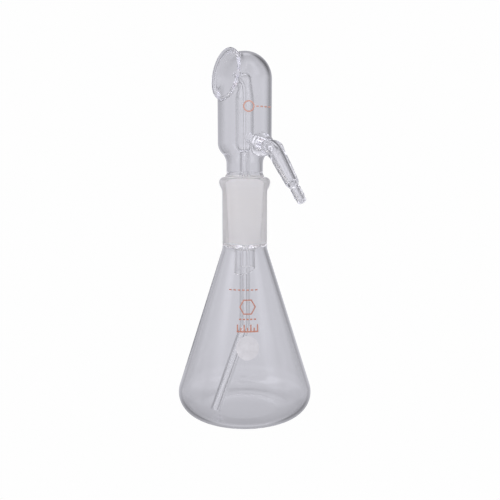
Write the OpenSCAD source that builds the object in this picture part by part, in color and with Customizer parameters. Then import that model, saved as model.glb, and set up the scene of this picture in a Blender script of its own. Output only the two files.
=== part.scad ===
// Reagent sprayer: a conical flask with a ground socket, and a glass spray head whose ground cone
// stands in that socket. Compressed air enters the side arm, fills the jacket inside the hood and
// leaves round the tip of the liquid capillary, which sucks reagent up the dip tube.
// Millimetres, +Z up. The origin is the centre of the plane that the flask stands on.
// -Y is the printed front of the flask. An azimuth is counted from +X towards +Y.

/* [Flask] */
// Outer diameter of the flask where it is widest
flask_d = 85; // [82:0.5:88]
// Slope of the conical wall, in degrees from the vertical
cone_angle = 17.5; // [17:0.25:18.5]
// Radius of the rounded corner between base and cone
corner_r = 13; // [11:0.5:15]
// Thickness of the flask's wall
flask_wall = 2; // [1.6:0.1:2.2]
// Height of the push-up in the middle of the base
punt_h = 1.8; // [1:0.2:3]

/* [Ground joint] */
// Radial gap between the ground cone and the ground socket
joint_gap = 0.03; // [0.02:0.01:0.05]
// Outer diameter of the socket's tube
socket_d = 27.8; // [27.4:0.2:29]
// Outer diameter of the bead at the socket's mouth
bead_d = 31.6; // [31:0.2:33]

/* [Hood] */
// Outer diameter of the hood
hood_d = 33; // [32:0.5:34]
// Outer diameter of the tube between the hood and the ground cone
neck_d = 22.4; // [21.6:0.2:23]
// Thickness of the glass in the hood and its neck
hood_wall = 1.8; // [1.5:0.1:2]
// Height of the dome's centre above the mouth of the socket
dome_h = 59.1; // [57:0.5:62]

/* [Spray mouth] */
// Direction that the spray mouth faces, as an azimuth
mouth_azimuth = 212; // [205:1:220]
// Upward tilt of the mouth's axis
mouth_tilt = 9.5; // [6:0.5:12]
// Outer diameter of the mouth's flared rim
mouth_d = 31.4; // [31:0.2:32]
// Distance from the hood's axis to the plane of the rim
mouth_reach = 14.4; // [13.8:0.1:14.8]

/* [Air supply] */
// Azimuth of the side arm
arm_azimuth = -52; // [-75:1:-40]
// Outer diameter of the side arm at the hood
arm_d = 9.5; // [9:0.1:10]
// Length of the side arm's straight lower part
arm_len = 22.4; // [20:0.4:24]
// Outer diameter of the air jacket
jacket_d = 11.5; // [10.5:0.5:12]

/* [Liquid line] */
// Outer diameter of the dip tube
dip_d = 6.6; // [6:0.2:7]
// Height of the bend in the dip tube above the flask's base
bend_z = 55; // [50:1:60]
// Height of the dip tube's open foot above the flask's base
foot_z = 5; // [4.5:0.5:8]
// Distance from the flask's axis to the dip tube's foot
foot_reach = 23.5; // [20:0.5:24]
// Azimuth of the dip tube's foot
foot_azimuth = 218.7; // [200:0.1:240]

/* [Prints] */
// Diameter of the white marking spot
spot_d = 13.6; // [12:0.2:14]
// Height of the marking spot's centre above the base
spot_z = 50.1; // [44:0.5:51]
// Width across the corners of the six-sided emblem
emblem_d = 10; // [8:0.5:11]
// Thickness of the fired enamel
enamel_t = 0.15; // [0.1:0.05:0.3]

/* [Hidden] */
$fn = 96;

clear = [0.78, 0.80, 0.84, 0.45];
ground = [0.86, 0.86, 0.88];
white = [0.94, 0.93, 0.93];
rust = [0.76, 0.42, 0.32];
through = 200;          // length of a cutter that passes right through
arc_steps = 10;         // straight steps in an arc of an outline
swell = 0.06;           // how much stouter a bend is than the rods that enter it
lap = 0.5;              // how far those rods run into the bend
proud = 0.5;            // how far a bore's cutter stands out of the tube's open end

// Flask: the corner arc ends where the cone's straight wall starts
corner_x = flask_d / 2 - corner_r;
slope = tan(cone_angle);
cone_x0 = corner_x + corner_r * cos(cone_angle);
cone_z0 = corner_r + corner_r * sin(cone_angle);
socket_r = socket_d / 2;
neck_fillet = 10;
fillet_x = socket_r + neck_fillet;
fillet_z = cone_z0 + (cone_x0 - fillet_x + neck_fillet * cos(cone_angle)) / slope
    + neck_fillet * sin(cone_angle);
base_ring_x = 23;
punt_r = (base_ring_x * base_ring_x + punt_h * punt_h) / (2 * punt_h);
punt_angle = asin(base_ring_x / punt_r);

// Prints: where they stand on the front of the flask and the hood
print_x = 1.7;
print_line = 0.8;
emblem_z = 73.4;
emblem_rule_z = 66;
scale_z = 59;
dash_x = -0.8;
dash_z = 82.8;
print_top_r = socket_r + 2;         // the prints end below the fillet under the neck
print_top_z = cone_z0 + (cone_x0 - print_top_r) / slope;

// Ground joint: the standard 1:10 taper, 24 mm across its large end and 40 mm long
joint_d = 24;
joint_len = 40;
socket_len = 42.75;
rim_z = fillet_z + socket_len;
joint_top = rim_z - 1;
joint_bottom = joint_top - joint_len;
function joint_r(z) = joint_d / 2 - (joint_top - z) / 20;
bead_arc = 3;
bead_x = bead_d / 2 - bead_arc;
bead_z = rim_z - bead_arc;
bead_foot_z = rim_z - 8;
cone_wall = 2;
cone_top = rim_z + 0.3;
neck_z = rim_z + 3;
tip_r = 6.6;
tip_wall = 1.3;
tip_top = joint_bottom - 4;
tip_azimuth = 227;      // its longer side
tip_slant = 21;
tip_low = 15.8;

// Hood: an S-shaped shoulder of two equal arcs between neck and cylinder
hood_r = hood_d / 2;
neck_r = neck_d / 2;
shoulder_z0 = rim_z + 8;
shoulder_z1 = rim_z + 21;
hood_print_x = 2.4;
hood_print_z = rim_z + 42;
hood_ring_r = 3.4;
hood_dash_x = hood_print_x + 8.8;
hood_dash_z = hood_print_z - 0.4;
half_turn = 2 * atan((hood_r - neck_r) / (shoulder_z1 - shoulder_z0));
shoulder_r = (shoulder_z1 - shoulder_z0) / (2 * sin(half_turn));
dome_z = rim_z + dome_h;

// Spray mouth, in its own frame: +X outwards along the mouth's axis
mouth_z = dome_z + 0.2;
mouth_root = 4;
throat_s = 11;
mouth_wall = 1.5;
mouth_flare = 1.7;
function mouth_r(s) = mouth_d / 2 - mouth_flare
    + mouth_flare * pow(max(0, s - throat_s) / (mouth_reach - throat_s), 2);

// Side arm, in the vertical plane at arm_azimuth
arm_z = rim_z + 19.9;
stub_drop = 13;
arm_drop = 50.7;
arm_turn = arm_drop - stub_drop;
elbow_r = 8;
boss_r = 7;
boss_s = 0.5;
boss_root = -3;
boss_len = boss_s + sqrt(boss_r * boss_r - arm_d * arm_d / 4);
stub_len = 9.2;
arm_r = arm_d / 2;
arm_bore = 2.7;
arm_end_r = 3.85;
arm_end_bore = 2;
hose_bore = 1.4;

// Hose tip, along its own axis from the end of the side arm
shoulder_len = 2.2;
barb_neck = 2.7;
barb_crest = 3.2;
barb_pitch = 2.4;
barb_count = 3;
barb_z0 = 3.6;
land_r = 2.7;
land_len = 1.8;
barb_end = barb_z0 + barb_count * barb_pitch + land_len;
tip_edge = 0.4;

// Jacket, bridge and nozzle
jacket_r = jacket_d / 2;
jacket_wall = 1.25;
jacket_z0 = rim_z + 14.5 + jacket_r;
jacket_z1 = dome_z - 1.8;
bridge_r = 3.2;
bridge_bore = 2;
bridge_drop = 20;
bridge_z = arm_z + hood_r * tan(bridge_drop);   // where its axis meets the hood's
bridge_len = hood_d * 0.7;                      // runs on past the hood's outer face
nozzle_rise = 35;
nozzle_len = 8.4;
nozzle_root_r = 3.6;
nozzle_tip_r = 2.2;
nozzle_bore = 1.5;
capillary_r = 1.2;
capillary_bore = 0.5;
capillary_bend = 14;
capillary_turn = 90 - nozzle_rise;
capillary_tangent = capillary_bend * tan(capillary_turn / 2);

// Dip tube: riser on the axis, one bend, and a straight leg to the foot
dip_r = dip_d / 2;
dip_bore = 1.1;
dip_bend = 12;
leg_tilt = atan(foot_reach / (bend_z - foot_z));
leg_tangent = dip_bend * tan(leg_tilt / 2);
leg_len = norm([foot_reach, bend_z - foot_z]) - leg_tangent;

// Points on a circle's arc, from angle a0 to angle a1
function arc(x, z, r, a0, a1) =
    [for (i = [0:arc_steps]) let (a = a0 + (a1 - a0) * i / arc_steps) [x + r * cos(a), z + r * sin(a)]];

// Turns a child from the frame of an azimuth's vertical plane, with +X outwards
module at_azimuth(a) rotate([0, 0, a]) children();

// Places a child whose own axis is +Z at a point of the XZ plane, dropping below the horizontal
module along(x, z, drop) translate([x, 0, z]) rotate([0, 90 + drop, 0]) children();

// Solid bend that starts at the origin along +Z and turns towards +X, a little stouter than the
// straight rods that run into both its ends
module bend(r, bend_r, turn) translate([bend_r, 0, 0]) rotate([90, 0, 0])
    rotate([0, 0, 180 - turn]) rotate_extrude(angle = turn) translate([bend_r, 0])
        circle(r = r + swell);

// Straight rod along +Z that starts a little before the origin
module rod(r0, r1, len) translate([0, 0, -lap]) cylinder(r1 = r0, r2 = r1, h = len + lap);

// Rod, bend and rod in one: `len0` up +Z to the bend at the origin, then `len1` beyond it
module bent_rod(r0, r1, len0, bend_r, turn, len1) {
    translate([0, 0, -len0]) cylinder(r = r0, h = len0 + lap);
    bend(r0, bend_r, turn);
    past_bend(bend_r, turn) rod(r0, r1, len1);
}

// Places a child at the far end of a bend, along its new direction
module past_bend(bend_r, turn)
    translate([bend_r * (1 - cos(turn)), 0, bend_r * sin(turn)]) rotate([0, turn, 0]) children();

module flask_body() color(clear) rotate_extrude() polygon(concat(
    arc(0, punt_h - punt_r, punt_r, 90, 90 - punt_angle),
    arc(corner_x, corner_r, corner_r, -90, cone_angle),
    arc(fillet_x, fillet_z, neck_fillet, 180 + cone_angle, 180),
    arc(fillet_x, fillet_z, neck_fillet + flask_wall, 180, 180 + cone_angle),
    arc(corner_x, corner_r, corner_r - flask_wall, cone_angle, -90),
    arc(0, punt_h - punt_r + flask_wall, punt_r, 90 - punt_angle, 90)
));

module ground_socket() color(ground) rotate_extrude() polygon(concat(
    [[socket_r - flask_wall, fillet_z], [socket_r, fillet_z], [socket_r, bead_foot_z]],
    arc(bead_x, bead_z, bead_arc, -25, 90),
    [[joint_r(joint_top) + joint_gap, joint_top],
     [joint_r(joint_bottom) + joint_gap, joint_bottom]]
));

// A layer of enamel on the front of the conical wall, as wide and high as its 2D child
module cone_print() intersection() {
    rotate_extrude() polygon([
        [cone_x0, cone_z0], [cone_x0 + enamel_t, cone_z0],
        [print_top_r + enamel_t, print_top_z], [print_top_r, print_top_z]
    ]);
    rotate([90, 0, 0]) linear_extrude(through) children();
}

// A row of dashes, centred on the origin
module dashes(count, pitch, size) for (i = [0:count - 1])
    translate([(i - (count - 1) / 2) * pitch - size.x / 2, 0]) square(size);

// A flat ring of `sides` sides
module outline_ring(r, line, sides) difference() {
    circle(r = r, $fn = sides);
    circle(r = r - line, $fn = sides);
}

module marking_spot() color(white) cone_print() translate([print_x, spot_z]) circle(d = spot_d);

// A plain six-sided ring over a dashed rule
module emblem_print() color(rust) cone_print() {
    translate([print_x, emblem_z]) outline_ring(emblem_d / 2, print_line, 6);
    translate([print_x, emblem_rule_z]) dashes(5, 2.2, [1.4, print_line]);
}

// A short ruled scale: a base line with long and short ticks
module scale_print() color(rust) cone_print() translate([print_x, scale_z]) union() {
    dashes(1, 0, [13, print_line]);
    dashes(7, 2, [print_line, 2.6]);
    dashes(4, 4, [print_line, 4.4]);
}

// A row of short dashes under the neck
module dash_print() color(rust) cone_print() translate([dash_x, dash_z]) dashes(7, 2.6, [1.6, 0.7]);

module ground_cone() color(ground) rotate_extrude() polygon(concat(
    [[neck_r - hood_wall, neck_z], [neck_r, neck_z], [joint_r(cone_top), cone_top],
     [joint_r(joint_bottom), joint_bottom]],
    arc(tip_r, joint_bottom, joint_r(joint_bottom) - tip_r, 0, -60),
    [[tip_r, tip_top], [tip_r - tip_wall, tip_top],
     [joint_r(joint_bottom) - cone_wall, joint_bottom],
     [joint_r(cone_top) - cone_wall, cone_top]]
));

// Solid that the hood's glass fills to a depth of `inset` below its outer surface
module hood_form(inset) rotate_extrude() polygon(concat(
    [[0, neck_z - (inset > 0 ? 1 : 0)], [neck_r - inset, neck_z - (inset > 0 ? 1 : 0)]],
    arc(neck_r + shoulder_r, shoulder_z0, shoulder_r + inset, 180, 180 - half_turn),
    arc(hood_r - shoulder_r, shoulder_z1, shoulder_r - inset, -half_turn, 0),
    arc(0, dome_z, hood_r - inset, 0, 90)
));

// Flared mouth round its own axis. The hollow form runs on past the rim.
module mouth_form(hollow) at_azimuth(mouth_azimuth) translate([0, 0, mouth_z])
    rotate([0, 90 - mouth_tilt, 0]) rotate_extrude() polygon(concat(
        [[0, mouth_root]],
        [for (i = [0:arc_steps]) let (s = mouth_root + (mouth_reach - mouth_root) * i / arc_steps)
            [mouth_r(s) - (hollow ? mouth_wall : 0), s]],
        hollow ? [[mouth_d, mouth_reach], [mouth_d, mouth_reach * 2], [0, mouth_reach * 2]]
               : [[0, mouth_reach]]
    ));

module hood_solid() union() {
    hood_form(0);
    mouth_form(false);
}

module bridge_rod(r) at_azimuth(arm_azimuth) along(0, bridge_z, bridge_drop)
    cylinder(r = r, h = bridge_len);

module hood() color(clear) difference() {
    hood_solid();
    hood_form(hood_wall);
    mouth_form(true);
    bridge_rod(bridge_r);
}

// Bulb of glass that seals the side arm to the hood's wall
module ring_seal() color(clear) difference() {
    at_azimuth(arm_azimuth) along(hood_r, arm_z, stub_drop) rotate_extrude() polygon(concat(
        [[arm_bore, boss_root], [boss_r, boss_root]],
        arc(0, boss_s, boss_r, 0, acos(arm_r / boss_r)),
        [[arm_bore, boss_len]]
    ));
    hood_form(0);
}

// Frame of the side arm's upper end: +Z outwards along the stub, with the bend ahead
module arm_frame() at_azimuth(arm_azimuth) along(hood_r, arm_z, stub_drop)
    translate([0, 0, stub_len]) children();

module side_arm() color(clear) arm_frame() difference() {
    bent_rod(arm_r, arm_end_r, stub_len - boss_len, elbow_r, arm_turn, arm_len);
    bent_rod(arm_bore, arm_end_bore, stub_len - boss_len + proud, elbow_r, arm_turn, arm_len + proud);
}

// Serrated end for a hose: shoulder, groove, rings of saw teeth, a plain land and a bevelled edge
module hose_tip() color(clear) arm_frame() past_bend(elbow_r, arm_turn)
    translate([0, 0, arm_len]) rotate_extrude() polygon(concat(
            [[hose_bore, 0], [arm_end_r, 0], [barb_neck, shoulder_len], [barb_neck, barb_z0]],
            [for (i = [0:barb_count - 1], side = [0, 1])
                [side == 0 ? barb_crest : land_r, barb_z0 + (i + side) * barb_pitch]],
            [[land_r, barb_end], [land_r - tip_edge, barb_end + tip_edge],
             [hose_bore, barb_end + tip_edge]]
        ));

module jacket_form(inset) rotate_extrude() polygon(concat(
    arc(0, jacket_z0, jacket_r - inset, -90, 0),
    arc(0, jacket_z1, jacket_r - inset, 0, 90)
));

module air_bridge() color(clear) intersection() {
    difference() {
        bridge_rod(bridge_r);
        bridge_rod(bridge_bore);
        jacket_form(0);
    }
    hood_form(0);
}

module nozzle_axis() at_azimuth(mouth_azimuth) along(0, jacket_z1, -nozzle_rise) children();

module air_jacket() color(clear) difference() {
    jacket_form(0);
    jacket_form(jacket_wall);
    bridge_rod(bridge_bore);
    cylinder(r = capillary_r, h = jacket_z0);
    nozzle_axis() cylinder(r = nozzle_root_r - jacket_wall, h = jacket_d);
}

module spray_nozzle() color(clear) difference() {
    nozzle_axis() difference() {
        cylinder(r1 = nozzle_root_r, r2 = nozzle_tip_r, h = nozzle_len);
        cylinder(r1 = nozzle_root_r - jacket_wall, r2 = nozzle_bore, h = nozzle_len + 0.01);
    }
    jacket_form(0);
}

module capillary_rod(r, extra) at_azimuth(mouth_azimuth)
    translate([0, 0, jacket_z1 - capillary_tangent])
        bent_rod(r, r, jacket_z1 - capillary_tangent - jacket_z0 + jacket_r + extra,
            capillary_bend, capillary_turn, nozzle_len - capillary_tangent + extra);

module jet_capillary() color(clear) difference() {
    capillary_rod(capillary_r, 0);
    capillary_rod(capillary_bore, proud);
}

module dip_rod(r, extra) at_azimuth(foot_azimuth) translate([0, 0, bend_z + leg_tangent])
    mirror([0, 0, 1]) bent_rod(r, r, jacket_z0 - bend_z - leg_tangent + extra,
        dip_bend, leg_tilt, leg_len + extra);

module dip_tube() color(clear) difference() {
    dip_rod(dip_r, 0);
    dip_rod(dip_bore, proud);
    jacket_form(0);
}

// Short tube under the ground cone, cut aslant so that run-off drips from one side
module drip_tip() color(clear) difference() {
    translate([0, 0, tip_top - tip_low]) cylinder(r = tip_r, h = tip_low);
    translate([0, 0, tip_top - tip_low - proud]) cylinder(r = tip_r - tip_wall, h = tip_low + 2 * proud);
    at_azimuth(tip_azimuth) translate([tip_r, 0, tip_top - tip_low]) rotate([0, tip_slant, 0])
        translate([-through / 2, -through / 2, -through]) cube(through);
}

// Small ring and dashes on the front of the hood
module hood_print() color(rust) intersection() {
    difference() {
        translate([0, 0, shoulder_z1]) cylinder(r = hood_r + enamel_t, h = dome_z - shoulder_z1);
        translate([0, 0, shoulder_z1]) cylinder(r = hood_r, h = dome_z - shoulder_z1);
    }
    rotate([90, 0, 0]) linear_extrude(through) {
        translate([hood_print_x, hood_print_z]) outline_ring(hood_ring_r, print_line, $fn);
        translate([hood_dash_x, hood_dash_z]) dashes(4, 2.4, [1.6, print_line]);
    }
}

flask_body();
ground_socket();
marking_spot();
emblem_print();
scale_print();
dash_print();
ground_cone();
hood();
ring_seal();
side_arm();
hose_tip();
air_bridge();
air_jacket();
spray_nozzle();
jet_capillary();
dip_tube();
drip_tip();
hood_print();
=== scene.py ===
import bpy
import math
import numpy as np
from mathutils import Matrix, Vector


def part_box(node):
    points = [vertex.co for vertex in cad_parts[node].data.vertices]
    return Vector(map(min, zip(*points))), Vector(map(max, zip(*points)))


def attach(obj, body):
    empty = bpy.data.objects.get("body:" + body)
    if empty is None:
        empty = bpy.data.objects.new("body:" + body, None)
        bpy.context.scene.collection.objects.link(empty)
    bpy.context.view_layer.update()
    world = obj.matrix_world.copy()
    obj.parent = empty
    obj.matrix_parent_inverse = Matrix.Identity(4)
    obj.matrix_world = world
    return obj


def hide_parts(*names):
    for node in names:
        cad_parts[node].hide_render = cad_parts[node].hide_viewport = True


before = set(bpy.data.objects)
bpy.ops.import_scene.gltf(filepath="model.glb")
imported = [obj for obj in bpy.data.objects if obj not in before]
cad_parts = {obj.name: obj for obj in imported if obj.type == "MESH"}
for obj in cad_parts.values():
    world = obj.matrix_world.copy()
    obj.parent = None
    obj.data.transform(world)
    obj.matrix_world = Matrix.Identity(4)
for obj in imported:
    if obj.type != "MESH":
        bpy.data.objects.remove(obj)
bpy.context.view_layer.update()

MM = 0.001


def top(node):
    """Height of a CAD node's top, in millimetres."""
    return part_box(node)[1].z / MM


def bottom(node):
    """Height of a CAD node's lowest point, in millimetres."""
    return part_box(node)[0].z / MM


# ---------------------------------------------------------------- dimensions, in millimetres
RIM_Z = top("ground_socket")
SEAM_Z = bottom("ground_socket")
NECK_Z = bottom("hood")
HOOD_R = 16.5
NECK_R = 11.2
HOOD_WALL = 1.8
DOME_Z = RIM_Z + 59.1
JACKET_R = 5.75
JACKET_WALL = 1.25
JACKET_Z0 = bottom("air_jacket") + JACKET_R     # middle of the jacket's lower round end
JACKET_Z1 = DOME_Z - 1.8                        # middle of its upper round end
FLASK_R = 42.5
FLASK_WALL = 2.0
CORNER_R = 13.0
CONE_ANGLE = math.radians(17.5)
SOCKET_R = 13.9
FILLET = 10.0
PUNT_H = 1.8                    # how far the base is pushed up
BASE_RING_X = 23.0              # where the base stands, from the axis
MOUTH_AZ = math.radians(212)
MOUTH_TILT = math.radians(9.5)
MOUTH_REACH = 14.4              # from the hood's axis to the lip
ARM_AZ = math.radians(-52)
FOOT_AZ = math.radians(218.7)
GAP = 0.012                     # how far a mesh stops short of a seam where the real glass is fused


# ---------------------------------------------------------------- meshes
def new_object(name, verts, faces, materials, smooth_angle=40, mask=None, normals=None):
    """A smooth mesh object from vertices in millimetres and a list or array of faces.
    `mask` is kept on the face corners; `normals`, one for each vertex, take the place of smooth_angle."""
    mesh = bpy.data.meshes.new(name)
    verts = np.asarray(verts, float) * MM
    mesh.from_pydata([tuple(v) for v in verts], [], [tuple(int(i) for i in f) for f in faces])
    mesh.validate()
    for material in materials:
        mesh.materials.append(material)
    mesh.polygons.foreach_set("use_smooth", np.ones(len(mesh.polygons), bool))
    if mask is not None:
        layer = mesh.attributes.new("ground", "FLOAT", "CORNER")
        layer.data.foreach_set("value", np.asarray(mask, np.float32))
    if normals is not None:
        mesh.normals_split_custom_set_from_vertices([tuple(n) for n in normals])
    else:
        mesh.set_sharp_from_angle(angle=math.radians(smooth_angle))
    mesh.update()
    obj = bpy.data.objects.new(name, mesh)
    bpy.context.collection.objects.link(obj)
    return obj


def arc(x, z, r, a0, a1, steps):
    """Points on an arc round (x, z), from a0 to a1 degrees."""
    a = np.radians(np.linspace(a0, a1, steps + 1))
    return [(x + r * math.cos(t), z + r * math.sin(t)) for t in a]


def lathe(name, outline, materials, path=None, mask=None, warp=None, segments=192, smooth_angle=40):
    """Revolves a closed outline of (radius, length) round +Z, or round a bent path.
    `mask` gives, for each edge of the outline, how far its faces are ground."""
    n = len(outline)
    area = sum(outline[i][0] * outline[(i + 1) % n][1] - outline[(i + 1) % n][0] * outline[i][1]
               for i in range(n))
    turns = np.linspace(0, 2 * math.pi, segments, endpoint=False)
    rings = []
    verts = []
    for r, length in outline:
        count = segments
        if abs(r) < 1e-9:
            r, count = 0.0, 1
        rings.append((len(verts), count))
        for turn in turns[:count]:
            x, y, z = r * math.cos(turn), r * math.sin(turn), length
            if warp is not None:
                x, y, z = warp(x, y, z)
            if path is not None:
                origin, normal, binormal = path(z)
                x, y, z = origin + normal * x + binormal * y
            verts.append((x, y, z))
    faces, face_mask = [], []
    for i in range(n):
        (a0, a_count), (b0, b_count) = rings[i], rings[(i + 1) % n]
        if a_count == 1 and b_count == 1:
            continue
        for k in range(segments):
            m = (k + 1) % segments
            if a_count == 1:
                face = (a0, b0 + m, b0 + k)
            elif b_count == 1:
                face = (a0 + k, a0 + m, b0)
            else:
                face = (a0 + k, a0 + m, b0 + m, b0 + k)
            faces.append(face if area > 0 else face[::-1])
            face_mask.append(0.0 if mask is None else mask[i])
    corner_mask = None
    if mask is not None:
        corner_mask = np.concatenate([[m] * len(f) for f, m in zip(faces, face_mask)])
    return new_object(name, verts, faces, materials, smooth_angle, corner_mask)


def round_corners(points, radii, steps=6):
    """Rounds the corners of a closed outline; radii maps a corner's index to its radius."""
    out = []
    n = len(points)
    for i, p in enumerate(points):
        r = radii.get(i, 0)
        if r <= 0:
            out.append(tuple(p))
            continue
        p = np.array(p, float)
        a = np.array(points[i - 1], float) - p
        b = np.array(points[(i + 1) % n], float) - p
        la, lb = np.linalg.norm(a), np.linalg.norm(b)
        a, b = a / la, b / lb
        angle = math.acos(max(-1, min(1, float(a @ b))))
        cut = min(r / math.tan(angle / 2), 0.48 * la, 0.48 * lb)       # two corners share a side
        r = cut * math.tan(angle / 2)
        middle = p + (a + b) / np.linalg.norm(a + b) * (r / math.sin(angle / 2))
        v0, v1 = p + a * cut - middle, p + b * cut - middle
        t0, t1 = math.atan2(v0[1], v0[0]), math.atan2(v1[1], v1[0])
        d = (t1 - t0 + math.pi) % (2 * math.pi) - math.pi
        for k in range(steps + 1):
            t = t0 + d * k / steps
            out.append((middle[0] + r * math.cos(t), middle[1] + r * math.sin(t)))
    return out


def bent_path(start, direction, turn_towards, len0, bend_r, turn):
    """A path in one plane: len0 straight on, an arc, then straight on.
    at(s) gives the point at length s and the two directions across the path there."""
    start, d, n = (np.array(v, float) for v in (start, direction, turn_towards))
    b = np.cross(d, n)
    arc_len = bend_r * turn

    def at(s):
        if s <= len0:
            return start + d * s, n, b
        if s <= len0 + arc_len:
            a = (s - len0) / bend_r
            centre = start + d * len0 + n * bend_r
            point = centre - n * bend_r * math.cos(a) + d * bend_r * math.sin(a)
            return point, n * math.cos(a) - d * math.sin(a), b
        end = start + d * len0 + n * bend_r * (1 - math.cos(turn)) + d * bend_r * math.sin(turn)
        tangent = d * math.cos(turn) + n * math.sin(turn)
        return end + tangent * (s - len0 - arc_len), n * math.cos(turn) - d * math.sin(turn), b
    return at


def lengths(*parts):
    """Joins stretches of (from, to, steps) into one rising list of lengths."""
    out = []
    for a, b, steps in parts:
        out += list(np.linspace(a, b, steps, endpoint=False))
    return out + [parts[-1][1]]


# ---------------------------------------------------------------- blown shapes: a field and its surface
def smooth_min(a, b, k):
    """The smaller of a and b, with the crease between them rounded over k millimetres."""
    h = np.maximum(k - np.abs(a - b), 0) / k
    return np.minimum(a, b) - h * h * h * k / 6


def smooth_max(a, b, k):
    return -smooth_min(-a, -b, k)


def refine(verts, triangles, chosen):
    """Halves every edge between two chosen vertices, and splits the triangles to fit."""
    pairs = np.concatenate([triangles[:, [0, 1]], triangles[:, [1, 2]], triangles[:, [2, 0]]])
    key = pairs.min(1) * len(verts) + pairs.max(1)
    unique, back = np.unique(key, return_inverse=True)
    a, b = unique // len(verts), unique % len(verts)
    cut = chosen[a] & chosen[b]
    number = np.full(len(unique), -1, np.int64)
    number[cut] = len(verts) + np.arange(cut.sum())
    verts = np.concatenate([verts, (verts[a[cut]] + verts[b[cut]]) / 2])
    middle = number[back.reshape(-1)].reshape(3, -1).T
    count = (middle >= 0).sum(1)
    out = [triangles[count == 0]]
    (p, q, r), (pq, qr, rp) = triangles[count == 3].T, middle[count == 3].T
    out += [np.stack(t, 1) for t in ((p, pq, rp), (pq, q, qr), (rp, qr, r), (pq, qr, rp))]
    for k in range(3):
        one = (count == 1) & (middle[:, k] >= 0)
        p, q, r = np.roll(triangles[one], -k, 1).T
        pq = middle[one, k]
        out += [np.stack(t, 1) for t in ((p, pq, r), (pq, q, r))]
        two = (count == 2) & (middle[:, k] < 0)
        p, q, r = np.roll(triangles[two], -k, 1).T
        qr, rp = middle[two, (k + 1) % 3], middle[two, (k + 2) % 3]
        out += [np.stack(t, 1) for t in ((p, q, qr), (p, qr, rp), (rp, qr, r))]
    return verts, np.concatenate(out)


def close_pinches(grid):
    """Fills the grid faces whose corners alternate, where four faces would meet at one edge."""
    for _ in range(8):
        found = 0
        for a, b in ((0, 1), (0, 2), (1, 2)):
            corners = []
            for da, db in ((0, 0), (1, 0), (0, 1), (1, 1)):
                part = [slice(None)] * 3
                part[a] = slice(da, grid.shape[a] - 1 + da)
                part[b] = slice(db, grid.shape[b] - 1 + db)
                corners.append(grid[tuple(part)])
            p, q, r, s = (c < 0 for c in corners)
            mixed = (p == s) & (q == r) & (p != q)
            found += mixed.sum()
            for corner in corners:
                corner[mixed & (corner >= 0)] = -1e-3
        if not found:
            return


def surface(field, low, high, step, finer=()):
    """Vertices, faces and normals of the surface where field(x, y, z) is 0, found on a grid of
    cells and then moved exactly on to it. Each test in finer picks the vertices whose faces are
    split once more."""
    low, high = np.array(low, float), np.array(high, float)
    count = np.ceil((high - low) / step).astype(int) + 1
    axes = [low[i] + step * np.arange(count[i]) for i in range(3)]
    grid = np.empty(count, np.float64)
    for i, x in enumerate(axes[0]):
        grid[i] = field(np.full((count[1], count[2]), x), axes[1][:, None] + np.zeros(count[2]),
                        np.zeros(count[1])[:, None] + axes[2])
    close_pinches(grid)
    inside = grid < 0
    cells = np.zeros(count - 1, np.int32)
    for dx in (0, 1):
        for dy in (0, 1):
            for dz in (0, 1):
                cells += inside[dx:count[0] - 1 + dx, dy:count[1] - 1 + dy, dz:count[2] - 1 + dz]
    crossed = (cells > 0) & (cells < 8)
    index = np.full(count - 1, -1, np.int64)
    index[crossed] = np.arange(crossed.sum())
    total = np.zeros((crossed.sum(), 3))
    weight = np.zeros(crossed.sum())
    faces = []
    for axis in range(3):
        others = [a for a in range(3) if a != axis]
        shape = list(count)
        shape[axis] -= 1
        a = grid[tuple(slice(0, shape[i]) for i in range(3))]
        shifted = [slice(0, shape[i]) for i in range(3)]
        shifted[axis] = slice(1, shape[axis] + 1)
        b = grid[tuple(shifted)]
        edge = np.argwhere((a < 0) != (b < 0))
        va, vb = a[tuple(edge.T)], b[tuple(edge.T)]
        point = edge.astype(float)
        point[:, axis] += va / (va - vb)
        quad = []
        for du, dv in ((0, 0), (1, 0), (1, 1), (0, 1)):
            cell = edge.copy()
            cell[:, others[0]] -= du
            cell[:, others[1]] -= dv
            ids = index[tuple(cell.T)]
            np.add.at(total, ids, point)
            np.add.at(weight, ids, 1)
            quad.append(ids)
        quad = np.stack(quad, 1)
        flip = (va > 0) if axis != 1 else (va < 0)
        quad[flip] = quad[flip][:, ::-1]
        faces.append(quad)
    verts = low + step * total / weight[:, None]
    faces = np.concatenate(faces)

    def value(p):
        return field(p[:, 0], p[:, 1], p[:, 2])

    def slope(p, h=0.02):
        g = np.empty_like(p)
        for i in range(3):
            d = np.zeros(3)
            d[i] = h
            g[:, i] = (value(p + d) - value(p - d)) / (2 * h)
        return g

    def settle(points, passes, furthest=0.35 * step):
        """Newton steps towards the surface, none of them longer than furthest."""
        for _ in range(passes):
            g = slope(points)
            move = (value(points) / np.maximum((g * g).sum(1), 1e-6))[:, None] * g
            far = np.linalg.norm(move, axis=1)
            move *= np.minimum(1, furthest / np.maximum(far, 1e-9))[:, None]
            points = points - move
        return points

    verts = settle(verts, 5)
    for test in finer:
        if len(faces[0]) == 4:
            faces = np.concatenate([faces[:, [0, 1, 2]], faces[:, [0, 2, 3]]])
        verts, faces = refine(verts, faces, test(verts[:, 0], verts[:, 1], verts[:, 2]))
        verts = settle(verts, 3)
    g = slope(verts)
    return verts, faces, g / np.linalg.norm(g, axis=1)[:, None]


# ---------------------------------------------------------------- materials
GLASS_IOR = 1.474               # borosilicate
ABSORPTION = 2.0                # per metre
ABSORPTION_TINT = (0.62, 0.62, 0.72, 1)
GROUND_ROUGHNESS = 0.62
GROUND_WHITE_SHARE = 0.45       # how much of the ground face scatters rather than lets through
GROUND_WARM = (1.0, 0.99, 0.965, 1)


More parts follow.
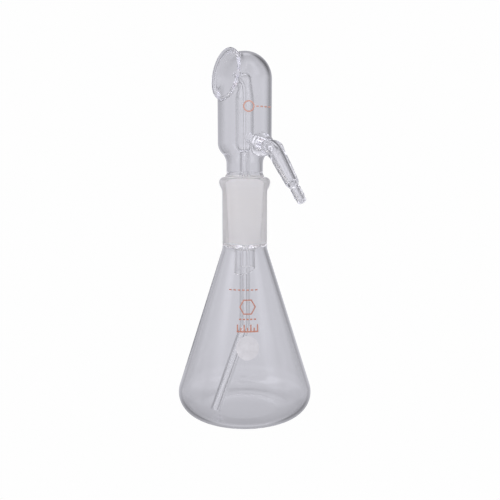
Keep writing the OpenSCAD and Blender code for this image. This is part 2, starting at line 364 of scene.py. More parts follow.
def add_node(tree, kind, inputs=None, **settings):
    """Adds a shader node. `inputs` maps a socket to a value or to the output that feeds it."""
    node = tree.nodes.new("ShaderNode" + kind)
    for name, value in settings.items():
        setattr(node, name, value)
    for socket, value in (inputs or {}).items():
        if isinstance(value, bpy.types.NodeSocket):
            tree.links.new(value, node.inputs[socket])
        else:
            node.inputs[socket].default_value = value
    return node


def add_maths(tree, operation, *values):
    """The output of a maths node; each value is a number or another node's output."""
    return add_node(tree, "Math", dict(enumerate(values)), operation=operation).outputs[0]


def new_material(name):
    m = bpy.data.materials.new(name)
    m.use_nodes = True
    m.node_tree.nodes.clear()
    return m, m.node_tree


def finish_glass(tree, surface_output):
    """The output node, with the faint absorption that all the glass has."""
    volume = add_node(tree, "VolumeAbsorption", {"Color": ABSORPTION_TINT, "Density": ABSORPTION})
    add_node(tree, "OutputMaterial", {"Surface": surface_output, "Volume": volume.outputs[0]})


def clear_glass(name, waves, scale):
    """Clear glass with the slow unevenness of lamp-worked glass, as a bump."""
    m, tree = new_material(name)
    place = add_node(tree, "TexCoord").outputs["Object"]
    noise = add_node(tree, "TexNoise", {"Vector": place, "Scale": scale, "Detail": 1.5})
    bump = add_node(tree, "Bump", {"Strength": waves, "Distance": 0.001, "Height": noise.outputs["Fac"]})
    glass = add_node(tree, "BsdfPrincipled", {
        "Base Color": (1, 1, 1, 1), "Roughness": 0.0, "IOR": GLASS_IOR, "Transmission Weight": 1.0,
        "Normal": bump.outputs[0]})
    finish_glass(tree, glass.outputs[0])
    return m


def ground_glass(name):
    """Clear glass whose taper face, marked in the mesh, is ground: rough, whitish and faintly grained."""
    m, tree = new_material(name)
    mask = add_node(tree, "Attribute", attribute_name="ground").outputs["Fac"]
    place = add_node(tree, "TexCoord").outputs["Object"]
    grain = add_node(tree, "TexNoise", {"Vector": place, "Scale": 2600.0, "Detail": 3.0}).outputs["Fac"]
    # stretched round the taper, so that the noise shows as the rings that grinding leaves
    stretch = add_node(tree, "Mapping", {"Vector": place, "Scale": (0.06, 0.06, 1.0)}).outputs[0]
    rings = add_node(tree, "TexNoise", {"Vector": stretch, "Scale": 900.0, "Detail": 2.0}).outputs["Fac"]
    height = add_maths(tree, "MULTIPLY", add_maths(tree, "ADD", grain, rings), mask)
    bump = add_node(tree, "Bump", {"Strength": 0.25, "Distance": 0.0001, "Height": height})
    clear = add_node(tree, "BsdfPrincipled", {
        "Base Color": (1, 1, 1, 1), "IOR": GLASS_IOR, "Transmission Weight": 1.0,
        "Roughness": add_maths(tree, "MULTIPLY", mask, GROUND_ROUGHNESS), "Normal": bump.outputs[0]})

    tone = add_node(tree, "MapRange", {
        "Value": rings, "From Min": 0.3, "From Max": 0.7, "To Min": 0.975, "To Max": 1.0})
    warm = add_node(tree, "Mix", {"Factor": 1.0, "A": tone.outputs[0], "B": GROUND_WARM},
                    data_type="RGBA", blend_type="MULTIPLY").outputs["Result"]
    through = add_node(tree, "BsdfTranslucent", {"Color": warm})
    face = add_node(tree, "BsdfDiffuse", {"Color": warm})
    white = add_node(tree, "MixShader", {0: 0.5, 1: through.outputs[0], 2: face.outputs[0]})
    share = add_maths(tree, "MULTIPLY", mask, GROUND_WHITE_SHARE)
    both = add_node(tree, "MixShader", {0: share, 1: clear.outputs[0], 2: white.outputs[0]})
    finish_glass(tree, both.outputs[0])
    return m


def enamel(name, low, high, scale, roughness, grain):
    """Matt fired enamel, a little uneven in tone and in thickness."""
    m, tree = new_material(name)
    place = add_node(tree, "TexCoord").outputs["Object"]
    noise = add_node(tree, "TexNoise", {"Vector": place, "Scale": scale, "Detail": 5.0, "Roughness": 0.65})
    ramp = add_node(tree, "ValToRGB", {0: noise.outputs["Fac"]})
    for stop, place_on_ramp, colour in zip(ramp.color_ramp.elements, (0.35, 0.65), (low, high)):
        stop.position = place_on_ramp
        stop.color = (*colour, 1)
    level = add_node(tree, "MapRange", {
        "Value": noise.outputs["Fac"], "To Min": roughness - 0.08, "To Max": roughness + 0.08})
    fine = add_node(tree, "TexNoise", {"Vector": place, "Scale": 3000.0})
    bump = add_node(tree, "Bump", {"Strength": grain, "Distance": 0.00008, "Height": fine.outputs["Fac"]})
    shader = add_node(tree, "BsdfPrincipled", {
        "Base Color": ramp.outputs[0], "Roughness": level.outputs[0], "Normal": bump.outputs[0]})
    add_node(tree, "OutputMaterial", {"Surface": shader.outputs[0]})
    return m


CLEAR = clear_glass("clear_glass", waves=0.10, scale=60.0)
THICK = clear_glass("clear_tube_glass", waves=0.06, scale=110.0)
GROUND = ground_glass("ground_glass")
WHITE = enamel("white_enamel", (0.59, 0.58, 0.57), (0.66, 0.65, 0.64), 260.0, 0.62, 0.35)
RUST = enamel("rust_print", (0.42, 0.16, 0.11), (0.57, 0.28, 0.20), 900.0, 0.5, 0.3)
PALE_RUST = enamel("pale_rust_print", (0.62, 0.30, 0.22), (0.74, 0.46, 0.37), 900.0, 0.5, 0.3)


def put(obj, body, slot, *nodes):
    """Fixes a visual piece to its body, and hides the CAD nodes that it stands in for."""
    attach(obj, body)
    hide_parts(*nodes)
    return obj


# ---------------------------------------------------------------- flask
BEAD_R, BEAD_OUT_R = 3.0, 15.8          # rolled bead at the socket's mouth
BEAD_SWELL = 9.5                        # how far below the rim the wall starts to swell to the bead
BEAD_STEPS = 9
JOINT_TOP, JOINT_LEN, JOINT_TOP_R = RIM_Z - 1, 40, 12
TAPER_RUN = 20                          # the taper is 1 in 10, so its radius falls by 1 in 20
JOINT_GAP = 0.03
JOINT_BOTTOM = JOINT_TOP - JOINT_LEN

corner_x = FLASK_R - CORNER_R
cone_deg = math.degrees(CONE_ANGLE)
fillet_x = SOCKET_R + FILLET
punt_r = (BASE_RING_X ** 2 + PUNT_H ** 2) / (2 * PUNT_H)
punt_deg = math.degrees(math.asin(BASE_RING_X / punt_r))
outer = arc(0, PUNT_H - punt_r, punt_r, 90, 90 - punt_deg, 24)
outer += arc(corner_x, CORNER_R, CORNER_R, -90, cone_deg, 36)
outer += arc(fillet_x, SEAM_Z, FILLET, 180 + cone_deg, 180, 14)
inner = arc(fillet_x, SEAM_Z, FILLET + FLASK_WALL, 180, 180 + cone_deg, 14)
inner += arc(corner_x, CORNER_R, CORNER_R - FLASK_WALL, cone_deg, -90, 36)
inner += arc(0, PUNT_H - punt_r + FLASK_WALL, punt_r, 90 - punt_deg, 90, 24)


def joint_r(z):
    """Radius of the ground taper."""
    return JOINT_TOP_R - (JOINT_TOP - z) / TAPER_RUN


def ground_mask(outline, edge):
    """1 on the one edge of an outline that is ground, 0 on the others."""
    return [1.0 if i == edge else 0.0 for i in range(len(outline))]


socket = [(SOCKET_R, z) for z in np.linspace(SEAM_Z + 3, RIM_Z - BEAD_SWELL, 12)]
bead = arc(BEAD_OUT_R - BEAD_R, RIM_Z - BEAD_R, BEAD_R, -25, 90, 24)
# the bead swells out of the tube in a soft curve
for k in range(1, BEAD_STEPS):
    t = k / BEAD_STEPS
    blend = (t * t * (3 - 2 * t)) ** 1.3
    socket.append((SOCKET_R + (bead[0][0] - SOCKET_R) * blend,
                   RIM_Z - BEAD_SWELL + (bead[0][1] - RIM_Z + BEAD_SWELL) * t))
socket += bead
socket += [(joint_r(JOINT_TOP) + JOINT_GAP + 0.25, RIM_Z - 0.1), (joint_r(JOINT_TOP) + JOINT_GAP, JOINT_TOP)]
outline = outer + socket
ground_edge = len(outline) - 1
outline += [(joint_r(JOINT_BOTTOM) + JOINT_GAP, JOINT_BOTTOM)]
outline += inner
flask = lathe("flask_glass", outline, [GROUND], mask=ground_mask(outline, ground_edge),
              segments=256, smooth_angle=35)
put(flask, "flask", "clear_glass", "flask_body", "ground_socket")

# ---------------------------------------------------------------- ground cone and drip tip
CONE_TOP, CONE_WALL = RIM_Z + 0.3, 2
TIP_R, TIP_WALL, TIP_ROUND = 6.6, 1.3, 0.5
TIP_TOP = bottom("ground_cone")
TIP_LOW, TIP_SLANT, TIP_AZ = 15.8, math.radians(21), math.radians(227)

cone_foot_r, cone_head_r = joint_r(JOINT_BOTTOM), joint_r(CONE_TOP)
tip_bore = TIP_R - TIP_WALL
# up the outside from the seam with the hood, down the ground taper, and back up the bore
cone = [(NECK_R - HOOD_WALL, NECK_Z - GAP), (NECK_R, NECK_Z - GAP), (NECK_R + 0.05, NECK_Z - 0.9),
        (cone_head_r - 0.25, CONE_TOP + 0.7), (cone_head_r, CONE_TOP)]
ground_edge = len(cone) - 1
cone += [(cone_foot_r, JOINT_BOTTOM)]
cone += arc(TIP_R, JOINT_BOTTOM, cone_foot_r - TIP_R, 0, -60, 14)[1:]
cone += [(TIP_R + 0.5, TIP_TOP + 0.62), (TIP_R, TIP_TOP + GAP), (tip_bore, TIP_TOP + GAP),
         (tip_bore + 0.25, TIP_TOP + 1.0), (cone_foot_r - 2.6, JOINT_BOTTOM - 1.2),
         (cone_foot_r - CONE_WALL, JOINT_BOTTOM + 0.6), (cone_head_r - CONE_WALL, CONE_TOP - 0.6),
         (cone_head_r - 2.2, CONE_TOP + 1.0)]
put(lathe("ground_cone_glass", cone, [GROUND], mask=ground_mask(cone, ground_edge)),
    "joint_cone", "ground_glass", "ground_cone")


def slant(x, y, z):
    """Shears the lower end of the drip tip to a slanting cut."""
    towards = x * math.cos(TIP_AZ) + y * math.sin(TIP_AZ)
    share = (TIP_TOP - z) / TIP_LOW
    return x, y, z + share * (TIP_R - towards) * math.tan(TIP_SLANT)


tip = round_corners([(tip_bore, TIP_TOP - TIP_LOW), (TIP_R, TIP_TOP - TIP_LOW),
                     (TIP_R, TIP_TOP - GAP), (tip_bore, TIP_TOP - GAP)], {0: TIP_ROUND, 1: TIP_ROUND})
put(lathe("drip_tip_glass", tip, [CLEAR], warp=slant, segments=128), "spray_head", "clear_glass", "drip_tip")

# ---------------------------------------------------------------- hood: wall and spray mouth
SHOULDER_0, SHOULDER_1 = RIM_Z + 8, RIM_Z + 21
MOUTH_Z = DOME_Z + 0.2
MOUTH_R, MOUTH_WALL = 14.0, 1.5
MOUTH_ROOT, MOUTH_BORE_ROOT = 3.0, 3.4          # where the mouth's tube and bore start, from the hood's axis
FLARE_START, FLARE_SLOPE, FLARE_BEND = 12.2, 0.77, 0.12
LIP_R, LIP_MID_R = 1.0, 14.5
NECK_CUT_R = 20.0                               # the cut at the neck's end stays clear of the arm

shoulder_rise = SHOULDER_1 - SHOULDER_0
shoulder_turn = 2 * math.atan((HOOD_R - NECK_R) / shoulder_rise)
shoulder_r = shoulder_rise / (2 * math.sin(shoulder_turn))
shoulder_mid = (SHOULDER_0 + SHOULDER_1) / 2


def hood_profile(z):
    """Outer radius of the hood below the dome, and the cosine of its slope."""
    most = shoulder_r * 0.999               # keeps the cosine above 0
    low, high = np.clip(z - SHOULDER_0, 0, most), np.clip(SHOULDER_1 - z, 0, most)
    lower = NECK_R + shoulder_r - np.sqrt(shoulder_r ** 2 - low ** 2)
    upper = HOOD_R - shoulder_r + np.sqrt(shoulder_r ** 2 - high ** 2)
    turn = np.where(z < shoulder_mid, low, high) / shoulder_r
    return np.where(z < shoulder_mid, lower, upper), np.sqrt(1 - turn ** 2)


def hood_outer(x, y, z):
    """Distance outside the hood's neck, shoulder, cylinder and dome."""
    rho = np.sqrt(x * x + y * y)
    r, c = hood_profile(np.minimum(z, DOME_Z))
    below = (rho - r) * c
    above = np.sqrt(rho * rho + (z - DOME_Z) ** 2) - HOOD_R
    return np.where(z > DOME_Z, above, below)


def heading(azimuth, rise):
    """The unit vector that points along an azimuth and up by rise."""
    return np.array([math.cos(rise) * math.cos(azimuth), math.cos(rise) * math.sin(azimuth), math.sin(rise)])


def axis_frame(x, y, z, start, direction):
    """Length along an axis, and distance from it."""
    dx, dy, dz = x - start[0], y - start[1], z - start[2]
    s = dx * direction[0] + dy * direction[1] + dz * direction[2]
    rho = np.sqrt(np.maximum(dx * dx + dy * dy + dz * dz - s * s, 0))
    return s, rho


mouth_start, mouth_dir = np.array([0, 0, MOUTH_Z]), heading(MOUTH_AZ, MOUTH_TILT)


def mouth_radius(s):
    """The tube is straight, then bends out at once to its flare."""
    past = s - FLARE_START
    return MOUTH_R + FLARE_SLOPE * (past + np.sqrt(past * past + FLARE_BEND)) / 2


# ---------------------------------------------------------------- side arm with its ring seal, and bridge
ARM_Z = RIM_Z + 19.9
ARM_R, ARM_BORE = 4.75, 2.7
ARM_ROOT, ARM_BORE_ROOT = 2.0, -1.0             # where they start, from the hood's outside
ARM_THINS, BORE_THINS = 0.9, 0.7                # how much thinner the arm and its bore are at the end
STUB_DROP, STUB_LEN = math.radians(13), 9.2
ELBOW_R, ARM_TURN, ARM_LEN = 8.0, math.radians(37.7), 22.4
KNOB, KNOB_SHIFT, KNOB_WIDTH = 0.75, 0.5, 2.4   # the elbow is swollen by the bending
PINCH, PINCH_S, PINCH_WIDTH = 0.7, 7.6, 1.5     # and the arm is drawn in before it
BOSS_R, BOSS_S, BOSS_BACK = 7.0, 0.5, 1.5       # ring seal
BRIDGE_DROP = math.radians(20)
BRIDGE_R, BRIDGE_BORE = 3.2, 2.0
BRIDGE_MID, BRIDGE_HALF = 12, 6                 # the stretch of the bridge's bore in the hood's glass
# how widely each seam is blended and each edge rounded
MOUTH_BLEND, MOUTH_BORE_BLEND, SEAL_BLEND, ARM_BLEND, BORE_BLEND, LIP_BLEND = 2.2, 1.6, 1.6, 1.2, 0.8, 0.6
WALL_EDGE, SEAL_EDGE, MOUTH_EDGE, BORE_EDGE = 0.5, 0.6, 1.2, 0.3
WELL_INSIDE = -10.0
HOOD_STEP, JACKET_STEP = 0.64, 0.32             # cells of the grids
LIP_ZONE_LEN, LIP_ZONE_R = 2.6, 17
SEAL_ZONE_MID, SEAL_ZONE_R = 3.0, 9.0

arm_out = heading(ARM_AZ, 0)
stub_start = arm_out * HOOD_R + np.array([0, 0, ARM_Z])
stub_dir = heading(ARM_AZ, -STUB_DROP)
bridge_start = np.array([0, 0, ARM_Z + HOOD_R * math.tan(BRIDGE_DROP)])
bridge_dir = heading(ARM_AZ, -BRIDGE_DROP)
bend_end = STUB_LEN + ELBOW_R * ARM_TURN
bend_mid = (STUB_LEN + bend_end) / 2
arm_end = bend_end + ARM_LEN


def arm_radii(s):
    """Outer and inner radius of the side arm."""
    share = np.maximum(0, s - bend_end) / ARM_LEN
    knob = KNOB * np.exp(-((s - bend_mid - KNOB_SHIFT) / KNOB_WIDTH) ** 2)
    pinch = PINCH * np.exp(-((s - PINCH_S) / PINCH_WIDTH) ** 2)
    return ARM_R - ARM_THINS * share ** 2 + (knob - pinch), ARM_BORE - BORE_THINS * share


def arm_frame(x, y, z):
    """Length along the bent middle line of the side arm, and distance from it."""
    out = x * math.cos(ARM_AZ) + y * math.sin(ARM_AZ) - HOOD_R
    across = -x * math.sin(ARM_AZ) + y * math.cos(ARM_AZ)
    a = out * math.cos(STUB_DROP) - (z - ARM_Z) * math.sin(STUB_DROP)
    b = -out * math.sin(STUB_DROP) - (z - ARM_Z) * math.cos(STUB_DROP)
    turned = np.arctan2(a - STUB_LEN, ELBOW_R - b)
    end_a, end_b = STUB_LEN + ELBOW_R * math.sin(ARM_TURN), ELBOW_R * (1 - math.cos(ARM_TURN))
    along = (a - end_a) * math.cos(ARM_TURN) + (b - end_b) * math.sin(ARM_TURN)
    aside = -(a - end_a) * math.sin(ARM_TURN) + (b - end_b) * math.cos(ARM_TURN)
    on_arc = np.hypot(a - STUB_LEN, ELBOW_R - b) - ELBOW_R
    first, second = a <= STUB_LEN, turned <= ARM_TURN
    s = np.where(first, a, np.where(second, STUB_LEN + ELBOW_R * turned, bend_end + along))
    off = np.where(first, b, np.where(second, on_arc, aside))
    return s, np.hypot(off, across)


def hood_field(x, y, z):
    """Below 0 in the glass of the hood, its mouth, the ring seal and the side arm."""
    wall = hood_outer(x, y, z)
    mouth_s, mouth_rho = axis_frame(x, y, z, mouth_start, mouth_dir)
    flare = mouth_rho - mouth_radius(mouth_s)
    outside = smooth_min(wall, np.maximum(flare, MOUTH_ROOT - mouth_s), MOUTH_BLEND)
    seal_s, seal_rho = axis_frame(x, y, z, stub_start, stub_dir)
    ball = np.sqrt(seal_rho * seal_rho + (seal_s - BOSS_S) ** 2) - BOSS_R
    outside = smooth_min(outside, smooth_max(ball, -BOSS_BACK - seal_s, SEAL_EDGE), SEAL_BLEND)
    arm_s, arm_rho = arm_frame(x, y, z)
    arm_r, arm_bore = arm_radii(arm_s)
    outside = smooth_min(outside, np.maximum(arm_rho - arm_r, ARM_ROOT - arm_s), ARM_BLEND)

    mouth_bore = np.maximum(flare + MOUTH_WALL, MOUTH_BORE_ROOT - mouth_s)
    hollow = smooth_min(wall + HOOD_WALL, mouth_bore, MOUTH_BORE_BLEND)
    glass = smooth_max(outside, -hollow, WALL_EDGE)
    glass = smooth_max(glass, mouth_s - MOUTH_REACH, MOUTH_EDGE)
    lip = np.hypot(mouth_rho - LIP_MID_R, mouth_s - MOUTH_REACH + LIP_R) - LIP_R
    glass = smooth_min(glass, lip, LIP_BLEND)

    bridge_s, bridge_rho = axis_frame(x, y, z, bridge_start, bridge_dir)
    bridge_bore = np.maximum(bridge_rho - BRIDGE_BORE, np.abs(bridge_s - BRIDGE_MID) - BRIDGE_HALF)
    bore = smooth_min(np.maximum(arm_rho - arm_bore, ARM_BORE_ROOT - arm_s), bridge_bore, BORE_BLEND)
    glass = smooth_max(glass, -bore, BORE_EDGE)
    glass = np.maximum(glass, arm_s - arm_end + GAP)
    return np.maximum(glass, np.where(x * x + y * y < NECK_CUT_R ** 2, NECK_Z + GAP - z, WELL_INSIDE))


def at_lip(x, y, z):
    """Where the mesh needs its smallest faces."""
    s, rho = axis_frame(x, y, z, mouth_start, mouth_dir)
    return (s > MOUTH_REACH - LIP_ZONE_LEN) & (rho < LIP_ZONE_R)


def at_lip_or_seal(x, y, z):
    """Where the mesh needs smaller faces."""
    s, rho = axis_frame(x, y, z, stub_start, stub_dir)
    return at_lip(x, y, z) | (np.hypot(s - SEAL_ZONE_MID, rho) < SEAL_ZONE_R)


verts, faces, normals = surface(hood_field, (-22.7, -44.2, NECK_Z - 11.2), (35.0, 18.0, DOME_Z + 20.0),
                                HOOD_STEP, (at_lip_or_seal, at_lip))
hood = new_object("hood_glass", verts, faces, [CLEAR], normals=normals)
put(hood, "spray_head", "clear_glass", "hood", "ring_seal", "side_arm")

# ---------------------------------------------------------------- air jacket with its bridge and nozzle
DRAWN_LEN, DRAWN_R = 10.0, 4.15                 # the jacket's upper end is drawn in
NOZZLE_RISE, NOZZLE_LEN = math.radians(35), 8.4
NOZZLE_R, NOZZLE_BORE = 3.6, 2.35               # at the jacket
NOZZLE_THINS, NOZZLE_BORE_THINS = 1.4, 0.85
DIP_R, DIP_BORE = 3.3, 1.1
CAP_R, CAP_BORE = 1.2, 0.5
RISER_CUT = RIM_Z - 12                          # where the riser's mesh ends, hidden by the ground joint
BRIDGE_SPREAD, BRIDGE_SPREAD_LEN = 0.9, 0.8     # the bridge widens where it meets the hood
SPOUT_BLEND, BRIDGE_BLEND, RISER_BLEND = 1.6, 1.2, 1.5
SPOUT_EDGE, BRIDGE_EDGE = 0.7, 0.8

nozzle_start, nozzle_dir = np.array([0, 0, JACKET_Z1]), heading(MOUTH_AZ, NOZZLE_RISE)


def jacket_body(x, y, z):
    """A round-ended tube that is drawn in towards its upper end."""
    axial = np.sqrt(x * x + y * y)
    foot, head = JACKET_Z1 - DRAWN_LEN, JACKET_Z1 + JACKET_R - DRAWN_R
    lean = (JACKET_R - DRAWN_R) / (head - foot)
    level = math.sqrt(1 - lean * lean)
    along = (z - foot) * level - axial * lean
    tube = np.hypot(axial, z - np.clip(z, JACKET_Z0, foot)) - JACKET_R
    drawn = axial * level + (z - foot) * lean - JACKET_R
    end = np.hypot(axial, z - head) - DRAWN_R
    return np.where(along < 0, tube, np.where(along > level * (head - foot), end, drawn))


def jacket_field(x, y, z):
    """Below 0 in the glass of the jacket, the bridge, the nozzle and the top of the riser."""
    body = jacket_body(x, y, z)
    axial = np.sqrt(x * x + y * y)
    s, rho = axis_frame(x, y, z, nozzle_start, nozzle_dir)
    spout = np.maximum(rho - (NOZZLE_R - s * NOZZLE_THINS / NOZZLE_LEN), -s)
    outside = smooth_min(body, spout, SPOUT_BLEND)
    bridge_s, bridge_rho = axis_frame(x, y, z, bridge_start, bridge_dir)
    wall = hood_outer(x, y, z) + HOOD_WALL
    bridge_r = BRIDGE_R + BRIDGE_SPREAD * np.exp(np.minimum(wall, 0) / BRIDGE_SPREAD_LEN)
    outside = smooth_min(outside, np.maximum(bridge_rho - bridge_r, -bridge_s), BRIDGE_BLEND)
    outside = smooth_min(outside, np.maximum(axial - DIP_R, z - JACKET_Z0), RISER_BLEND)

    spout_bore = np.maximum(rho - (NOZZLE_BORE - s * NOZZLE_BORE_THINS / NOZZLE_LEN), -s)
    bore = np.minimum(np.maximum(bridge_rho - BRIDGE_BORE, -bridge_s), spout_bore)
    hollow = smooth_min(body + JACKET_WALL, bore, BORE_BLEND)
    hollow = np.minimum(hollow, np.maximum(axial - CAP_BORE, z - JACKET_Z0))
    hollow = np.minimum(hollow, np.maximum(axial - DIP_BORE, z - JACKET_Z0 + JACKET_R))
    glass = smooth_max(outside, -hollow, BORE_EDGE)
    glass = smooth_max(glass, s - NOZZLE_LEN, SPOUT_EDGE)
    glass = np.maximum(glass, RISER_CUT + GAP - z)
    return smooth_max(glass, wall + GAP, BRIDGE_EDGE)


verts, faces, normals = surface(jacket_field, (-9.7, -14.2, RISER_CUT - 1.0), (12.5, 7.5, JACKET_Z1 + 8.6),
                                JACKET_STEP)
jacket = new_object("air_jacket_glass", verts, faces, [THICK], normals=normals)
put(jacket, "spray_head", "clear_glass", "air_jacket", "air_bridge", "spray_nozzle")

# ---------------------------------------------------------------- hose tip
HOSE_BORE, LAND_R, BARB_R = 1.4, 2.7, 3.2
BARB_COUNT, BARB_START, BARB_PITCH = 3, 3.6, 2.4
TIP_LEN = 13.0

stub_normal = heading(ARM_AZ, -STUB_DROP - math.pi / 2)
arm_path = bent_path(stub_start, stub_dir, stub_normal, STUB_LEN, ELBOW_R, ARM_TURN)
barbs = [(HOSE_BORE, 0), (ARM_R - ARM_THINS, 0), (LAND_R, 2.2), (LAND_R, BARB_START)]
for k in range(BARB_COUNT):
    barbs += [(BARB_R, BARB_START + BARB_PITCH * k), (LAND_R, BARB_START + BARB_PITCH * (k + 1))]
barbs += [(LAND_R, TIP_LEN - 0.4), (LAND_R - 0.4, TIP_LEN), (HOSE_BORE, TIP_LEN)]
radii = {1: 0.35, 2: 0.5, 3: 0.15, 4: 0.25, 5: 0.12, 6: 0.25, 7: 0.12, 8: 0.25, 9: 0.12, 10: 0.2, 11: 0.2,
         12: 0.3}
barbs = [(r, arm_end + max(z, GAP)) for r, z in round_corners(barbs, radii, 5)]
put(lathe("hose_tip_glass", barbs, [THICK], path=arm_path, segments=128),
    "spray_head", "clear_glass", "hose_tip")

# ---------------------------------------------------------------- dip tube
FOOT_REACH, BEND_Z, FOOT_Z, DIP_BEND_R = 23.5, 55.0, 5.0, 12.0
FOOT_ROUND, FOOT_CHAMFER = 0.7, 0.3

leg_tilt = math.atan(FOOT_REACH / (BEND_Z - FOOT_Z))
leg_tangent = DIP_BEND_R * math.tan(leg_tilt / 2)
riser = JACKET_Z0 - BEND_Z - leg_tangent
dip_path = bent_path((0, 0, JACKET_Z0), (0, 0, -1), heading(FOOT_AZ, 0), riser, DIP_BEND_R, leg_tilt)
dip_start = JACKET_Z0 - RISER_CUT + GAP
dip_bend_end = riser + DIP_BEND_R * leg_tilt
dip_end = dip_bend_end + math.hypot(FOOT_REACH, BEND_Z - FOOT_Z) - leg_tangent
stretch = lengths((dip_start, riser, 30), (riser, dip_bend_end, 14),
                  (dip_bend_end, dip_end - FOOT_ROUND, 16))
dip = [(DIP_R, s) for s in stretch]
dip += arc(DIP_R - FOOT_ROUND, dip_end - FOOT_ROUND, FOOT_ROUND, 0, 90, 6)[1:]
dip += [(DIP_BORE + FOOT_CHAMFER, dip_end), (DIP_BORE, dip_end - FOOT_CHAMFER)]
dip += [(DIP_BORE, s) for s in reversed(stretch)]
put(lathe("dip_tube_glass", dip, [THICK], path=dip_path, segments=96),
    "spray_head", "clear_glass", "dip_tube")

# ---------------------------------------------------------------- capillary
CAP_BEND_R, CAP_CHAMFER = 14.0, 0.3

cap_turn = math.pi / 2 - NOZZLE_RISE
cap_tangent = CAP_BEND_R * math.tan(cap_turn / 2)
cap_foot = JACKET_Z0 - (JACKET_R - JACKET_WALL) + 0.2
cap_len = JACKET_Z1 - cap_tangent - cap_foot
cap_path = bent_path((0, 0, cap_foot), (0, 0, 1), heading(MOUTH_AZ, 0), cap_len, CAP_BEND_R, cap_turn)
cap_bend_end = cap_len + CAP_BEND_R * cap_turn
cap_end = cap_bend_end + NOZZLE_LEN - cap_tangent
stretch = lengths((0, cap_len, 16), (cap_len, cap_bend_end, 20), (cap_bend_end, cap_end, 4))
capillary = [(CAP_R, s) for s in stretch[:-1]]
capillary += [(CAP_R, cap_end - CAP_CHAMFER), (CAP_R - CAP_CHAMFER, cap_end)]
capillary += [(CAP_BORE, s) for s in reversed(stretch)]
put(lathe("jet_capillary_glass", capillary, [THICK], path=cap_path, segments=64),
    "spray_head", "clear_glass", "jet_capillary")

# ---------------------------------------------------------------- fired marks: the CAD's own solids
for name, finish, slot in (("marking_spot", WHITE, "white_enamel"), ("emblem_print", RUST, "rust_print"),
                           ("scale_print", RUST, "rust_print"), ("dash_print", RUST, "rust_print"),
                           ("hood_print", PALE_RUST, "rust_print")):
    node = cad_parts[name]
    node.data.materials.clear()
    node.data.materials.append(finish)

# ---------------------------------------------------------------- studio
PAPER = (0.991, 0.991, 0.991, 1)        # what the camera sees of the background and the floor
ROOM_LEVEL = 0.555
ROOM_TINT = (0.985, 0.98, 1.065)
PANEL_SOFT = 18                 # degrees over which a panel fades out upwards and downwards
# soft panels in the room: azimuth (0 is behind the camera), half width, fade, level, height, half height
PANELS = (
    (-64, 8, 16, 1.3, 40, 18), (58, 6, 16, 0.8, 38, 16),            # strip lights left and right
    (0, 50, 50, 0.32, 20, 60),                                      # wide front light
    (98, 12, 12, 0.32, 30, 22), (-98, 12, 12, 0.32, 30, 22),        # side lights
    # dark strips behind and beside the glass, which draw its edges
    (180, 50, 30, -0.16, 30, 7), (180, 50, 30, -0.16, -40, 8),
    (144, 12, 16, -0.24, 35, 30), (-144, 14, 18, -0.20, 40, 28),
    (134, 13, 14, -0.16, -30, 18), (-134, 13, 14, -0.15, -30, 18),
    (88, 26, 12, -0.25, -28, 12), (-88, 26, 12, -0.25, -28, 12))
OVERHEAD_HALF, OVERHEAD_SOFT, OVERHEAD_LEVEL = 20, 30, 0.5
FLOOR_R, FLOOR_Z = 3000, -0.25
FLOOR_STEPS = 96


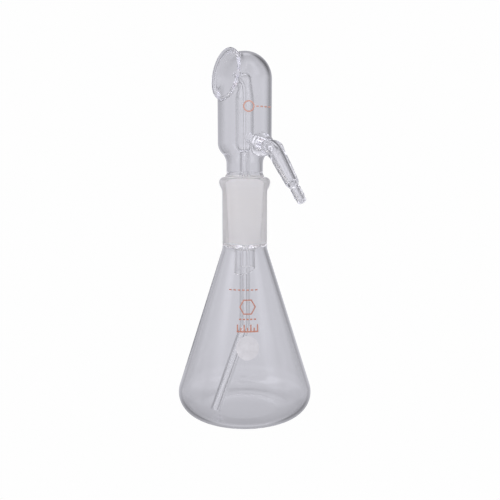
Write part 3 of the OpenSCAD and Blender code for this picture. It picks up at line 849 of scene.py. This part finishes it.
def studio_world():
    """The room that lights and shows in the glass; the camera itself sees plain paper."""
    world = bpy.data.worlds.new("studio")
    bpy.context.scene.world = world
    world.use_nodes = True
    tree = world.node_tree
    tree.nodes.clear()

    def maths(operation, *values):
        return add_maths(tree, operation, *values)

    place = add_node(tree, "TexCoord").outputs["Generated"]
    x, y, z = add_node(tree, "SeparateXYZ", {0: place}).outputs
    azimuth = maths("MULTIPLY", maths("ARCTAN2", x, maths("MULTIPLY", y, -1)), 180 / math.pi)
    height = maths("MULTIPLY", maths("ARCSINE", z), 180 / math.pi)

    def within(value, centre, half, soft, wrap=None):
        """1 within half of centre, falling to 0 over soft."""
        away = maths("SUBTRACT", value, centre)
        if wrap:
            away = maths("WRAP", away, wrap / 2, -wrap / 2)
        return add_node(tree, "MapRange", {
            "Value": maths("ABSOLUTE", away), "From Min": half + soft, "From Max": half},
            interpolation_type="SMOOTHSTEP").outputs[0]

    total = ROOM_LEVEL
    for centre, half, soft, level, mid_height, half_height in PANELS:
        panel = maths("MULTIPLY", within(azimuth, centre, half, soft, wrap=360),
                      within(height, mid_height, half_height, PANEL_SOFT))
        total = maths("ADD", total, maths("MULTIPLY", panel, level))
    overhead = within(height, 90, OVERHEAD_HALF, OVERHEAD_SOFT)
    total = maths("ADD", total, maths("MULTIPLY", overhead, OVERHEAD_LEVEL))

    tint = add_node(tree, "CombineColor",
                    {i: maths("MULTIPLY", total, share) for i, share in enumerate(ROOM_TINT)})
    room = add_node(tree, "Background", {"Color": tint.outputs[0]})
    paper = add_node(tree, "Background", {"Color": PAPER})
    to_camera = add_node(tree, "LightPath").outputs["Is Camera Ray"]
    mix = add_node(tree, "MixShader", {0: to_camera, 1: room.outputs[0], 2: paper.outputs[0]})
    add_node(tree, "OutputWorld", {"Surface": mix.outputs[0]})


def studio_floor():
    """A pale disc that the camera sees and that lets all other light through."""
    turns = np.linspace(0, 2 * math.pi, FLOOR_STEPS, endpoint=False)
    verts = [(0, 0, FLOOR_Z)]
    verts += [(FLOOR_R * math.cos(t), FLOOR_R * math.sin(t), FLOOR_Z) for t in turns]
    faces = [(0, k + 1, (k + 1) % FLOOR_STEPS + 1) for k in range(FLOOR_STEPS)]
    m, tree = new_material("studio_floor")
    paper = add_node(tree, "Emission", {"Color": PAPER})
    through = add_node(tree, "BsdfTransparent")
    to_camera = add_node(tree, "LightPath").outputs["Is Camera Ray"]
    mix = add_node(tree, "MixShader", {0: to_camera, 1: through.outputs[0], 2: paper.outputs[0]})
    add_node(tree, "OutputMaterial", {"Surface": mix.outputs[0]})
    floor = new_object("studio_floor", verts, faces, [m])


studio_world()
studio_floor()

# the camera that was fitted to the photo's outline
camera_data = bpy.data.cameras.new("camera")
camera_data.sensor_width = 36.0
camera_data.lens = 47.45
camera_data.shift_x = 0.0106
camera_data.clip_start = 0.01
camera_data.clip_end = 20.0
camera = bpy.data.objects.new("camera", camera_data)
bpy.context.collection.objects.link(camera)
camera.location = (0, -0.410, 0.1643)
camera.rotation_euler = (math.radians(90 - 8.3), 0, 0)

bpy.context.scene.camera = camera

scene = bpy.context.scene
scene.view_settings.view_transform = "Standard"
scene.cycles.max_bounces = 300          # light crosses many walls in the nested tubes
scene.cycles.transmission_bounces = 300
scene.cycles.glossy_bounces = 300
scene.cycles.diffuse_bounces = 32
scene.cycles.blur_glossy = 0.0
scene.cycles.transparent_max_bounces = 16
scene.cycles.use_denoising = True
scene.cycles.seed = 7
scene.cycles.sample_clamp_indirect = 6.0
